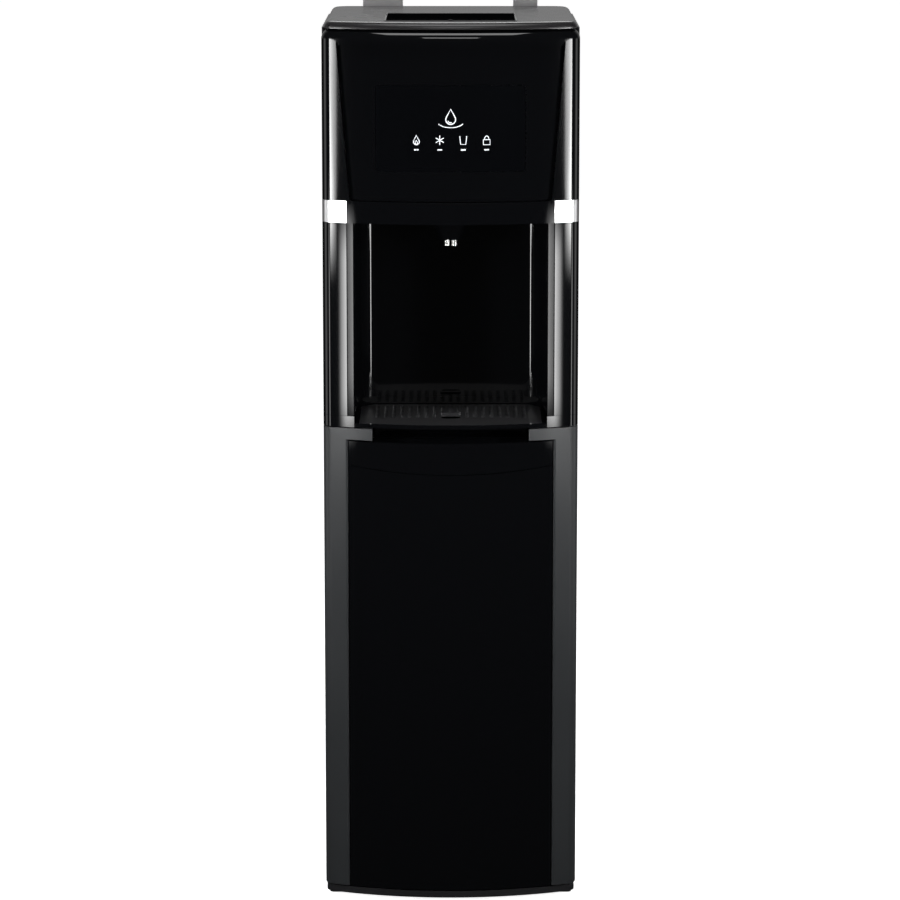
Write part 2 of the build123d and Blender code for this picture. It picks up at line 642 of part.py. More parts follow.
def door_trim(side, name):
    """One strip with its arm, hollow inside; the right one is bored for the hinge bushes."""
    with BuildPart() as trim:
        with BuildSketch(Plane.XY.offset(DOOR_Z)) as trim_plan:
            add(shell_plan(0, LINER_SKIN_Y - FIT))
            add(side_area(side, DOOR_SPLIT, HALF, FRONT_Y, -100), mode=Mode.INTERSECT)
            corner = trim_plan.vertices().sort_by_distance((side * DOOR_SPLIT, FRONT_Y))[0]
            fillet(corner, radius=3)
        extrude(amount=ARM_TOP_Z - DOOR_Z)
        with BuildSketch(Plane.XY.offset(DOOR_TOP_Z + 2)):
            add(shell_plan(0, LINER_SKIN_Y - FIT))
            add(side_area(side, ARM_SPLIT, DOOR_SPLIT + 8, FRONT_Y, -100), mode=Mode.INTERSECT)
        extrude(amount=ARM_TOP_Z - DOOR_TOP_Z - 2)
        low, high = (-146, DOOR_Z + 3), (-120, ARM_TOP_Z - 3)
        side_block(side, DOOR_SPLIT + 3, DOOR_SPLIT + 12, low, high, Mode.SUBTRACT)
        if side > 0:
            for bush_z in (DOOR_Z, ARM_TOP_Z - BUSH_LENGTH):
                with BuildSketch(Plane.XY.offset(bush_z)):
                    with Locations((HINGE_X, HINGE_Y)):
                        Circle(BUSH_R + 0.05)
                extrude(amount=BUSH_LENGTH, mode=Mode.SUBTRACT)
            with BuildSketch(Plane.XY.offset(DOOR_Z)):
                with Locations((HINGE_X, HINGE_Y)):
                    Circle(PIN_R + 1)
            extrude(amount=BUSH_LENGTH + 5, mode=Mode.SUBTRACT)
    write(trim, name)


door_trim(-1, "left_door_trim")
door_trim(1, "right_door_trim")

with BuildPart() as door_hinge_bushes:
    for bush_z in (DOOR_Z, ARM_TOP_Z - BUSH_LENGTH):
        with BuildSketch(Plane.XY.offset(bush_z)):
            with Locations((HINGE_X, HINGE_Y)):
                Circle(BUSH_R)
                Circle(PIN_R + PIN_FIT, mode=Mode.SUBTRACT)
        extrude(amount=BUSH_LENGTH)
write(door_hinge_bushes, "door_hinge_bushes")

with BuildPart() as door_catch_plate:
    side_block(-1, 139, DOOR_HALF - 1, (DOOR_BACK_Y, CATCH_Z[0]), (DOOR_BACK_Y + 1.4, CATCH_Z[1]))
write(door_catch_plate, "door_catch_plate")

# Hinges: steel plates fixed above and below the door, each with a pin into a bush.
PIN_LENGTH = 11
HINGE_PLATE = 3
with BuildPart() as door_hinges:
    block((HINGE_X - 8, HINGE_Y - 6, ARM_TOP_Z + 0.4), (HINGE_X + 8, PANEL_Y - FIT, DECK_Z))
    block((HINGE_X - 10, HINGE_Y - 6, BASE_Z), (HINGE_X + 6, PANEL_Y, BASE_Z + HINGE_PLATE))
    block((HINGE_X - 10, PANEL_Y, BASE_Z + SHEET), (HINGE_X + 4, -95, BASE_Z + SHEET + HINGE_PLATE))
    for foot in (BASE_Z, ARM_TOP_Z - PIN_LENGTH):
        with BuildSketch(Plane.XY.offset(foot)):
            with Locations((HINGE_X, HINGE_Y)):
                Circle(PIN_R)
        extrude(amount=HINGE_PLATE + PIN_LENGTH if foot == BASE_Z else PIN_LENGTH + 1)
write(door_hinges, "door_hinges")

# Bottle floor: a moulded tray with a low ring that centres the bottle.
BOTTLE_Y = 6
with BuildPart() as bottle_floor:
    block((-HALF + SHEET + FIT, PANEL_Y, FLANGE_Z + FIT), (HALF - SHEET - FIT, 145, FLOOR_Z))
    with BuildSketch(Plane.XY.offset(FLANGE_Z)):
        with Locations((0, BOTTLE_Y)):
            Circle(100)
            Circle(60, mode=Mode.SUBTRACT)
    extrude(amount=2.5, mode=Mode.SUBTRACT)
write(bottle_floor, "bottle_floor")

# Machine deck: the steel shelf behind the alcove that carries the compressor and the pump.
DECK_SHEET = 1.5
MACHINE_Y = ALCOVE_BACK_Y + FIT
PUMP = (72, 70)
HOSE_RISE_X = 6  # where the bottle's hose comes up through the deck
with BuildPart() as machine_deck:
    block((-HALF + 2 * SHEET, MACHINE_Y, CHANNEL_Z), (HALF - 2 * SHEET, 141, CHANNEL_Z + DECK_SHEET))
    for side in (-1, 1):
        low, high = (MACHINE_Y, CHANNEL_Z), (141, CHANNEL_Z + 14)
        side_block(side, HALF - 2 * SHEET - DECK_SHEET, HALF - 2 * SHEET, low, high)
    with BuildSketch(Plane.XY.offset(CHANNEL_Z)):
        with Locations((HOSE_RISE_X, PUMP[1])):
            Circle(7)
    extrude(amount=DECK_SHEET, mode=Mode.SUBTRACT)
write(machine_deck, "machine_deck")

# Compressor: a domed steel can on a foot plate, held by four rubber mounts.
COMPRESSOR = (-66, 72)
CAN_R = 55
MOUNT_Z = CHANNEL_Z + DECK_SHEET
MOUNT_H = 9
FOOT_Z = MOUNT_Z + MOUNT_H
CAN_TOP_Z = 705
with BuildPart() as compressor:
    with BuildSketch(Plane.XY.offset(FOOT_Z)):
        with Locations(COMPRESSOR):
            RectangleRounded(124, 112, 16)
    extrude(amount=3)
    with BuildSketch(Plane.XY.offset(FOOT_Z + 3)):
        with Locations(COMPRESSOR):
            Circle(CAN_R)
    extrude(amount=CAN_TOP_Z - FOOT_Z - 3)
    fillet(compressor.edges().filter_by(GeomType.CIRCLE).sort_by(Axis.Z)[-1], radius=26)
    with BuildSketch(Plane.XY.offset(645)):
        with Locations(COMPRESSOR):
            Circle(CAN_R + 1.8)
    extrude(amount=4)
write(compressor, "compressor")

with BuildPart() as compressor_mounts:
    with BuildSketch(Plane.XY.offset(MOUNT_Z)):
        with Locations(COMPRESSOR):
            with GridLocations(98, 86, 2, 2):
                Circle(9)
    extrude(amount=MOUNT_H)
write(compressor_mounts, "compressor_mounts")

# Pump: a diaphragm head on the deck, with its motor standing on it.
PUMP_HALF = 32
PUMP_PORT_Z = MOUNT_Z + 14
PORT_LENGTH = 12
with BuildPart() as water_pump:
    with BuildSketch(Plane.XY.offset(MOUNT_Z)):
        with Locations(PUMP):
            RectangleRounded(2 * PUMP_HALF, 52, 8)
    extrude(amount=28)
    with BuildSketch(Plane.YZ.offset(PUMP[0] - PUMP_HALF - PORT_LENGTH)):
        with Locations((PUMP[1], PUMP_PORT_Z)):
            Circle(5)
    extrude(amount=2 * (PUMP_HALF + PORT_LENGTH))
    with BuildSketch(Plane.XY.offset(MOUNT_Z + 28)):
        with Locations(PUMP):
            Circle(19)
    extrude(amount=56)
    fillet(water_pump.edges().group_by(Axis.Z)[-1], radius=3)
write(water_pump, "water_pump")

# Cold tank: a steel can wound with the evaporator, inside two foam halves.
COLD = (-62, 48)
COLD_R = 60
COLD_Z = (874, 1016)
with BuildPart() as cold_tank:
    with BuildSketch(Plane.XY.offset(COLD_Z[0])):
        with Locations(COLD):
            Circle(COLD_R)
    extrude(amount=COLD_Z[1] - COLD_Z[0])
    fillet(cold_tank.edges().group_by(Axis.Z)[0], radius=10)
    offset(amount=-1.2, openings=cold_tank.faces().sort_by(Axis.Z)[-1])
write(cold_tank, "cold_tank")

# Tank lid: a moulded disc whose hollow stem guides the ring float and stops it with a collar.
STEM_R = 4
FLOAT_Z = 936
with BuildPart() as cold_tank_lid:
    with BuildSketch(Plane.XY.offset(COLD_Z[1])):
        with Locations(COLD):
            Circle(COLD_R + 3)
    extrude(amount=5)
    with BuildSketch(Plane.XY.offset(FLOAT_Z - 8)):
        with Locations(COLD):
            Circle(STEM_R)
    extrude(amount=COLD_Z[1] + 14 - FLOAT_Z + 8)
    with BuildSketch(Plane.XY.offset(FLOAT_Z - 3)):
        with Locations(COLD):
            Circle(STEM_R + 3)
    extrude(amount=2.5)
write(cold_tank_lid, "cold_tank_lid")

with BuildPart() as tank_float:
    with BuildSketch(Plane.XY.offset(FLOAT_Z)):
        with Locations(COLD):
            Circle(14)
            Circle(STEM_R + 0.5, mode=Mode.SUBTRACT)
    extrude(amount=22)
    fillet(tank_float.edges().filter_by(GeomType.CIRCLE).group_by(SortBy.RADIUS)[-1], radius=3)
write(tank_float, "tank_float")

COIL_R = 3
COIL_TURNS = 9
with BuildPart() as evaporator_coil:
    for turn in range(COIL_TURNS):
        with Locations((*COLD, 896 + 12 * turn)):
            Torus(COLD_R + COIL_R + FIT, COIL_R)
write(evaporator_coil, "evaporator_coil")

FOAM_HALF = 75
FOAM_Z = (858, 1032)


def foam_half(side):
    """One half of the foam box, cut out for the wound tank and its stem."""
    edges = sorted((COLD[1], COLD[1] + side * FOAM_HALF))
    with BuildPart() as foam:
        block((COLD[0] - FOAM_HALF, edges[0], FOAM_Z[0]), (COLD[0] + FOAM_HALF, edges[1], FOAM_Z[1]))
        fillet(foam.edges().filter_by(Axis.Z).group_by(Axis.Y)[0 if side < 0 else -1], radius=12)
        for radius, low, high in (
            (COLD_R + 2 * COIL_R + 1, COLD_Z[0] - FIT, COLD_Z[1] + 5 + FIT),
            (8, FOAM_Z[0], COLD_Z[0]),
            (STEM_R + 1, COLD_Z[1], FOAM_Z[1]),
        ):
            with BuildSketch(Plane.XY.offset(low)):
                with Locations(COLD):
                    Circle(radius)
            extrude(amount=high - low, mode=Mode.SUBTRACT)
    return foam.part


with BuildPart() as tank_insulation:
    for side in (-1, 1):
        solid = foam_half(side)
        add(solid.moved(Location((0, side * 0.1, 0))))
write(tank_insulation, "tank_insulation")

# Hot tank: a small steel can with a heating element in its base and a foam jacket.
HOT = (90, 70)
HOT_R = 42
HOT_Z = (878, 1000)
with BuildPart() as hot_tank:
    with BuildSketch(Plane.XY.offset(HOT_Z[0])):
        with Locations(HOT):
            Circle(HOT_R)
    extrude(amount=HOT_Z[1] - HOT_Z[0])
    fillet(hot_tank.edges().group_by(Axis.Z)[-1], radius=9)
    offset(amount=-1.2, openings=hot_tank.faces().sort_by(Axis.Z)[0])
write(hot_tank, "hot_tank")

with BuildPart() as heater_flange:
    with BuildSketch(Plane.XY.offset(HOT_Z[0] - 3)):
        with Locations(HOT):
            Circle(HOT_R + 4)
    extrude(amount=3)
    with BuildLine() as element:
        FilletPolyline(
            (HOT[0] - 16, HOT[1], HOT_Z[0] - 14),
            (HOT[0] - 16, HOT[1], HOT_Z[0] + 70),
            (HOT[0] + 16, HOT[1], HOT_Z[0] + 70),
            (HOT[0] + 16, HOT[1], HOT_Z[0] - 14),
            radius=15,
        )
    with BuildSketch(Plane(origin=element.line @ 0, z_dir=element.line % 0)):
        Circle(4)
    sweep(path=element.line)
write(heater_flange, "heater_flange")

# Valves: solenoid valves over the spouts, hot on the left and cold on the right.
with BuildPart() as dispense_valves:
    for side in (-1, 1):
        side_block(side, 0.4, 17, (NOZZLE_Y - 11, VALVE_Z), (NOZZLE_Y + 11, VALVE_Z + 22))
        with BuildSketch(Plane.YZ.offset(side * 17)):
            with Locations((NOZZLE_Y, VALVE_Z + 11)):
                Circle(12)
        extrude(amount=side * 30)
write(dispense_valves, "dispense_valves")

# Water hoses: from the pump up to the tanks, and from each tank forward to its valve.
HOSE_R, HOSE_BORE = 5, 3.2
OUTLET_R, OUTLET_BORE = 4, 2.2
RISER_X, RISER_Y = 137, 132
RISER_TOP_Z = FOAM_Z[1] + 12
LOW_Z = 849  # level of the hoses between the ceiling plate and the tanks
VALVE_BACK_Y = NOZZLE_Y + 11 + FIT
riser_points = [
    (PUMP[0] + PUMP_HALF + PORT_LENGTH + FIT, PUMP[1], PUMP_PORT_Z),
    (RISER_X, PUMP[1], PUMP_PORT_Z),
    (RISER_X, RISER_Y, PUMP_PORT_Z + 60),
    (RISER_X, RISER_Y, RISER_TOP_Z),
    (COLD[0] + 30, RISER_Y, RISER_TOP_Z),
    (COLD[0] + 30, COLD[1] + 20, RISER_TOP_Z),
    (COLD[0] + 30, COLD[1] + 20, FOAM_Z[1] + FIT),
]


def outlet_points(start, lane_y, side):
    """Route of a hose from a tank's underside, along a lane, up to the back of a valve."""
    x, y, z = start
    return [
        (x, y, z),
        (x, y, LOW_Z),
        (x, lane_y, LOW_Z),
        (side * 9, lane_y, LOW_Z),
        (side * 9, lane_y, VALVE_Z + 8),
        (side * 9, VALVE_BACK_Y, VALVE_Z + 8),
    ]


cold_points = outlet_points((COLD[0], COLD[1], COLD_Z[0] - FIT), -30, 1)
hot_points = outlet_points((HOT[0], HOT[1] - 25, HOT_Z[0] - 3 - FIT), -40, -1)
with BuildPart() as water_hoses:
    add(tube(riser_points, [12, 20, 25, 16, 8], HOSE_R, HOSE_BORE))
    add(tube(cold_points, [10, 16, 7, 7], OUTLET_R, OUTLET_BORE))
    add(tube(hot_points, [10, 16, 7, 7], OUTLET_R, OUTLET_BORE))
write(water_hoses, "water_hoses")

# Refrigerant lines: copper pipes from the compressor to the condenser and from the cold tank back.
PIPE_R = 3
CONDENSER_Y = 163
LINE_END_Y = 139  # where the condenser's ends stop inside the rear panel
DISCHARGE = (COMPRESSOR[0] + 20, COMPRESSOR[1] + 40)
SUCTION_X, SUCTION_Y = COMPRESSOR[0] - 20, 134
FOAM_BACK_Y = COLD[1] + FOAM_HALF + 0.1
discharge_points = [
    (*DISCHARGE, CAN_TOP_Z - 2.5),
    (*DISCHARGE, 742),
    (LINE_X, 116, 742),
    (LINE_X, 116, LINE_HIGH_Z),
    (LINE_X, LINE_END_Y - FIT, LINE_HIGH_Z),
]
suction_points = [
    (SUCTION_X, COMPRESSOR[1], CAN_TOP_Z + FIT),
    (SUCTION_X, COMPRESSOR[1], 770),
    (SUCTION_X, SUCTION_Y, 770),
    (SUCTION_X, SUCTION_Y, 935),
    (SUCTION_X, FOAM_BACK_Y + FIT, 935),
]
with BuildPart() as refrigerant_lines:
    add(tube(discharge_points, [12, 14, 12], PIPE_R, 2.2))
    add(tube(suction_points, [16, 16, 5], PIPE_R + 1, 3))
write(refrigerant_lines, "refrigerant_lines")

# Condenser: a serpentine pipe on the back with wires welded along both sides of it.
RUNS = 13
COIL_Z = (230, LINE_HIGH_Z)
RUN_PITCH = (COIL_Z[1] - COIL_Z[0]) / RUNS
COIL_HALF = 118
COIL_PIPE_R = 2.5
WIRE_R = 0.8
coil_points = [(LINE_X, LINE_END_Y, COIL_Z[1]), (LINE_X, CONDENSER_Y, COIL_Z[1])]
for run in range(RUNS):
    end = COIL_HALF if run % 2 else -COIL_HALF
    coil_points.append((end, CONDENSER_Y, COIL_Z[1] - run * RUN_PITCH))
    coil_points.append((end, CONDENSER_Y, COIL_Z[1] - (run + 1) * RUN_PITCH))
coil_points += [
    (LINE_X, CONDENSER_Y, COIL_Z[0]),
    (LINE_X, CONDENSER_Y, LINE_LOW_Z),
    (LINE_X, LINE_END_Y, LINE_LOW_Z),
]
with BuildPart() as condenser:
    add(tube(coil_points, 9, COIL_PIPE_R))
    for turn in (-1, 1):
        with BuildSketch(Plane.XY.offset(COIL_Z[0] - 8)):
            with Locations((0, CONDENSER_Y + turn * (COIL_PIPE_R + WIRE_R + 0.05))):
                with GridLocations(9.4, 1, 21, 1):
                    Circle(WIRE_R)
        extrude(amount=COIL_Z[1] - COIL_Z[0] + 16)
write(condenser, "condenser")

with BuildPart() as condenser_clips:
    for x in (-104, 104):
        for run in (2, 11):
            level = COIL_Z[1] - run * RUN_PITCH
            block((x - 4, REAR_Y, level - 7), (x + 4, CONDENSER_Y + 6, level + 7))
            with BuildSketch(Plane.YZ.offset(x - 5)):
                with Locations((CONDENSER_Y, level)):
                    Circle(COIL_PIPE_R + PIN_FIT)
            extrude(amount=10, mode=Mode.SUBTRACT)
write(condenser_clips, "condenser_clips")

# Power box: the moulded case of the mains board, on the right side panel.
with BuildPart() as power_box:
    block((112, 14, 690), (HALF - SHEET - FIT, 110, 810))
    fillet(power_box.edges().group_by(Axis.X)[0], radius=3)
write(power_box, "power_box")

# Rear switches: a moulded bezel with two rocker switches, one for heating and one for cooling.
ROCKER_X = (SWITCH_X - 12, SWITCH_X + 12)
ROCKER_PIVOT_Y = REAR_Y + 0.5
ROCKER_PIN_R = 1.5
ROCKER_PIN_HALF = 9.4
with BuildPart() as switch_bezel:
    block((SWITCH_X - 29, REAR_Y, SWITCH_Z - 19), (SWITCH_X + 29, REAR_Y + 2, SWITCH_Z + 19))
    fillet(switch_bezel.edges().filter_by(Axis.Y), radius=3)
    block((SWITCH_X - 24.7, REAR_Y - 16, SWITCH_Z - 14.7), (SWITCH_X + 24.7, REAR_Y, SWITCH_Z + 14.7))
    for x in ROCKER_X:
        low, high = (x - 9.5, REAR_Y - 12, SWITCH_Z - 12.5), (x + 9.5, REAR_Y + 3, SWITCH_Z + 12.5)
        block(low, high, mode=Mode.SUBTRACT)
write(switch_bezel, "switch_bezel")


def rocker(x, name):
    """One paddle, bent in the middle, turning on a pin at its back."""
    with BuildPart() as paddle:
        with BuildSketch(Plane.YZ.offset(x - 9)):
            with BuildLine():
                Polyline(
                    (ROCKER_PIVOT_Y - 6, SWITCH_Z - 8),
                    (ROCKER_PIVOT_Y + 1.5, SWITCH_Z - 11.5),
                    (ROCKER_PIVOT_Y + 3, SWITCH_Z),
                    (ROCKER_PIVOT_Y + 5, SWITCH_Z + 11),
                    (ROCKER_PIVOT_Y - 6, SWITCH_Z + 8),
                    close=True,
                )
            make_face()
        extrude(amount=18)
        fillet(paddle.edges().filter_by(Axis.X).group_by(Axis.Y)[-1], radius=1)
        with BuildSketch(Plane.YZ.offset(x - ROCKER_PIN_HALF)):
            with Locations((ROCKER_PIVOT_Y, SWITCH_Z)):
                Circle(ROCKER_PIN_R)
        extrude(amount=2 * ROCKER_PIN_HALF)
    write(paddle, name)


rocker(ROCKER_X[0], "heater_rocker")
rocker(ROCKER_X[1], "cooler_rocker")

# Drain: a threaded outlet through the back, fed by a hose and closed by a ribbed cap.
with BuildPart() as drain_outlet:
    with BuildSketch(Plane.XZ.offset(-REAR_Y)):
        with Locations((DRAIN_X, DRAIN_Z)):
            Circle(14)
            Circle(5, mode=Mode.SUBTRACT)
    extrude(amount=-2.5)
    with BuildSketch(Plane.XZ.offset(-REAR_Y)):
        with Locations((DRAIN_X, DRAIN_Z)):
            Circle(8)
            Circle(5, mode=Mode.SUBTRACT)
    extrude(amount=-16)
    with BuildSketch(Plane.XZ.offset(-REAR_Y)):
        with Locations((DRAIN_X, DRAIN_Z)):
            Circle(8.8)
            Circle(5, mode=Mode.SUBTRACT)
    extrude(amount=4.5)
write(drain_outlet, "drain_outlet")

with BuildPart() as drain_cap:
    with BuildSketch(Plane.XZ.offset(-REAR_Y - 3)):
        with Locations((DRAIN_X, DRAIN_Z)):
            Circle(12)
            with PolarLocations(12, 12):
                Circle(1.4)
    extrude(amount=-16)
    with BuildSketch(Plane.XZ.offset(-REAR_Y - 3)):
        with Locations((DRAIN_X, DRAIN_Z)):
            Circle(8 + PIN_FIT)
    extrude(amount=-13.5, mode=Mode.SUBTRACT)
write(drain_cap, "drain_cap")

# Mains gland: the moulded bush that the cord would leave by.
with BuildPart() as mains_gland:
    with BuildSketch(Plane.XZ.offset(-REAR_Y)):
        with Locations((GLAND_X, GLAND_Z)):
            Circle(12)
            Circle(4, mode=Mode.SUBTRACT)
    extrude(amount=-8, taper=12)
    with BuildSketch(Plane.XZ.offset(-REAR_Y)):
        with Locations((GLAND_X, GLAND_Z)):
            Circle(7.8)
            Circle(4, mode=Mode.SUBTRACT)
    extrude(amount=3)
write(mains_gland, "mains_gland")

# Bottle probe: the cap and long tube that go into the bottle, hung up in the rear corner.
PROBE = (-118, 116)
TUBE_Z = 62
COLLAR_Z = (531, 541)
COLLAR_R = 21
PORT_Z = 545
with BuildPart() as bottle_probe:
    with BuildSketch(Plane.XY.offset(TUBE_Z)):
        with Locations(PROBE):
            Circle(6)
    extrude(amount=COLLAR_Z[0] - TUBE_Z)
    with BuildSketch(Plane.XY.offset(COLLAR_Z[0])):
        with Locations(PROBE):
            Circle(COLLAR_R)
            with PolarLocations(COLLAR_R, 16):
                Circle(1.2)
    extrude(amount=COLLAR_Z[1] - COLLAR_Z[0])
    with BuildSketch(Plane.XY.offset(COLLAR_Z[0])):
        with Locations(PROBE):
            Circle(COLLAR_R - 3)
            Circle(9, mode=Mode.SUBTRACT)
    extrude(amount=COLLAR_Z[1] - COLLAR_Z[0] - 3, mode=Mode.SUBTRACT)
    with BuildSketch(Plane.XY.offset(COLLAR_Z[1])):
        with Locations(PROBE):
            Circle(5)
    extrude(amount=PORT_Z - COLLAR_Z[1])
    with Locations((*PROBE, TUBE_Z)):
        Box(30, 3, 16, mode=Mode.SUBTRACT)
    with BuildSketch(Plane.XY.offset(TUBE_Z)):
        with Locations(PROBE):
            Circle(4.5)
    extrude(amount=PORT_Z - TUBE_Z, mode=Mode.SUBTRACT)
write(bottle_probe, "bottle_probe")

# Probe hanger: a fork on the left panel that the probe's cap rests on, with raised ends.
HANGER_Z = COLLAR_Z[0] - 4
PANEL_X = -HALF + SHEET + FIT
with BuildPart() as probe_hanger:
    block((PANEL_X, PROBE[1] - 16, HANGER_Z), (PROBE[0] + 14, PROBE[1] + 16, HANGER_Z + 3.5))
    block((PANEL_X, PROBE[1] - 16, HANGER_Z - 30), (PANEL_X + 2.5, PROBE[1] + 16, HANGER_Z))
    with BuildSketch(Plane.XY.offset(HANGER_Z)):
        with Locations(PROBE):
            Circle(7.5)
        add(span((PROBE[0], PROBE[1] - 7.5), (PROBE[0] + 20, PROBE[1] + 7.5)))
    extrude(amount=4, mode=Mode.SUBTRACT)
write(probe_hanger, "probe_hanger")

# Bottle hose: from the probe's cap, under the machine deck, up through it to the pump.
PUMP_IN_X = PUMP[0] - PUMP_HALF - PORT_LENGTH - FIT
bottle_hose_points = [
    (*PROBE, PORT_Z + FIT),
    (*PROBE, PORT_Z + 10),
    (HOSE_RISE_X, 100, PORT_Z + 10),
    (HOSE_RISE_X, PUMP[1], PORT_Z + 18),
    (HOSE_RISE_X, PUMP[1], PUMP_PORT_Z),
    (PUMP_IN_X, PUMP[1], PUMP_PORT_Z),
]
with BuildPart() as bottle_hose:
    add(tube(bottle_hose_points, [8, 18, 10, 12], HOSE_R - 0.5, HOSE_BORE))
write(bottle_hose, "bottle_hose")
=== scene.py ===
import math

import bmesh
import bpy
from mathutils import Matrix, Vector


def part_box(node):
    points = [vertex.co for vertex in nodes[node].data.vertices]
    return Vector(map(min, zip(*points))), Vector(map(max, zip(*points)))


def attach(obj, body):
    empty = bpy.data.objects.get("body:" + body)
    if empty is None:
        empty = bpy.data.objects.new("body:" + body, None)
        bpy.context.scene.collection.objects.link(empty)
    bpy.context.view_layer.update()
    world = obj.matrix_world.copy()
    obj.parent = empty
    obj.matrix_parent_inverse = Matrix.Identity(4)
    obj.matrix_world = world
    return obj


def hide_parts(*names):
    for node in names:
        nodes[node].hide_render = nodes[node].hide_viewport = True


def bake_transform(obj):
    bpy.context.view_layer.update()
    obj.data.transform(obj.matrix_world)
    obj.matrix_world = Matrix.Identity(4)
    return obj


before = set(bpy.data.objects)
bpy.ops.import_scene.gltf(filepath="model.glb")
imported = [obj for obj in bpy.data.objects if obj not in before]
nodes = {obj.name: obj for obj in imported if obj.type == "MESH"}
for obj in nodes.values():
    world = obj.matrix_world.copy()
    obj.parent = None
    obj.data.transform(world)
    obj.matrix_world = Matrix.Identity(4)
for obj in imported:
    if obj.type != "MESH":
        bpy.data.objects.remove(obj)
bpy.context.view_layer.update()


# The studio: a pale floor, a dark front and a bright back, so that gloss black reads
# as black and only its rounded edges and its top catch the light.
class Socket:
    """A shader socket that takes part in plain arithmetic; node() adds any other node."""

    def __init__(self, tree, link=None):
        self.tree = tree
        self.link = link

    def node(self, kind, settings=None, inputs=None, output=0):
        made = self.tree.nodes.new("ShaderNode" + kind)
        for name, value in (settings or {}).items():
            setattr(made, name, value)
        for name, value in (inputs or {}).items():
            if isinstance(value, Socket):
                self.tree.links.new(value.link, made.inputs[name])
            else:
                made.inputs[name].default_value = value
        return Socket(self.tree, made.outputs[output])

    def math(self, operation, first, second=0.0):
        return self.node("Math", {"operation": operation}, {0: first, 1: second})

    def __add__(self, other):
        return self.math("ADD", self, other)

    def __sub__(self, other):
        return self.math("SUBTRACT", self, other)

    def __mul__(self, other):
        return self.math("MULTIPLY", self, other)

    def __rsub__(self, other):
        return self.math("SUBTRACT", other, self)

    def mix(self, low, high):
        """A colour between low and high, by this value."""
        settings = {"data_type": "RGBA", "clamp_factor": True}
        return self.node("Mix", settings, {0: self, 6: low, 7: high}, output=2)

    def fade(self, start, end):
        """This value as a smooth step that is 0 at start and 1 at end."""
        settings = {"interpolation_type": "SMOOTHSTEP"}
        return self.node("MapRange", settings, {0: self, 1: start, 2: end})


BLACK, WHITE = (0, 0, 0, 1), (1, 1, 1, 1)
CAMERA_PLACE = (-0.0008, -4.605, 1.354)
CAMERA_PITCH = 10.10
FOCAL_MM = 148.7
SENSOR_MM = 36.0
lens = bpy.data.cameras.new("camera")
lens.lens = FOCAL_MM
lens.sensor_width = SENSOR_MM
camera = bpy.data.objects.new("camera", lens)
camera.location = CAMERA_PLACE
camera.rotation_euler = (math.radians(90 - CAMERA_PITCH), 0, 0)
bpy.context.scene.collection.objects.link(camera)
bpy.context.scene.camera = camera
bpy.context.scene.view_settings.view_transform = "Standard"

WORLD_FRONT, WORLD_BACK = 0.035, 0.38
world = bpy.data.worlds.new("studio")
bpy.context.scene.world = world
world.use_nodes = True
sky = Socket(world.node_tree)
direction = sky.node("TexCoord", output=0)
toward_back = sky.node("SeparateXYZ", inputs={0: direction}, output=1)
room = toward_back.fade(0.15, 0.75) * (WORLD_BACK - WORLD_FRONT) + WORLD_FRONT
seen = sky.node("LightPath", output=0)
shade = (room + seen * (1.0 - room)).mix(BLACK, WHITE)
world.node_tree.links.new(shade.link, world.node_tree.nodes["Background"].inputs["Color"])

FLOOR_SPAN = 90.0
PAPER_GLOW = 0.93
FLOOR_IN_GLOSS = (0.02, 0.02, 0.02, 1)
bpy.ops.mesh.primitive_plane_add(size=FLOOR_SPAN, location=(0, 0, 0))
floor = bpy.context.object
floor.name = "floor"
paper = bpy.data.materials.new("floor_paper")
paper.use_nodes = True
sheet = Socket(paper.node_tree)
grain = sheet.node("TexNoise", inputs={"Scale": 4.0, "Detail": 2.0})
pale = grain.mix((0.80, 0.80, 0.80, 1), (0.84, 0.84, 0.84, 1))
lit = sheet.node("BsdfDiffuse", inputs={"Color": pale})
glow_white = sheet.node("Emission", inputs={"Color": WHITE, "Strength": PAPER_GLOW})
bright = sheet.node("AddShader", inputs={0: lit, 1: glow_white})
dark = sheet.node("Emission", inputs={"Color": FLOOR_IN_GLOSS, "Strength": 1.0})
camera_ray = sheet.node("LightPath", output=0)
both = sheet.node("MixShader", inputs={0: camera_ray, 1: dark, 2: bright})
paper.node_tree.links.new(both.link, paper.node_tree.nodes["Material Output"].inputs[0])
floor.data.materials.append(paper)


def softbox(name, place, aim, size, power):
    """An area light of the given width and height, aimed at a point."""
    light = bpy.data.lights.new(name, "AREA")
    light.shape = "RECTANGLE"
    light.size, light.size_y = size
    light.energy = power
    holder = bpy.data.objects.new(name, light)
    holder.location = place
    holder.rotation_euler = (Vector(aim) - Vector(place)).to_track_quat("-Z", "Y").to_euler()
    bpy.context.scene.collection.objects.link(holder)


FRONT_CORNER = 0.147  # of the cabinet, from its middle


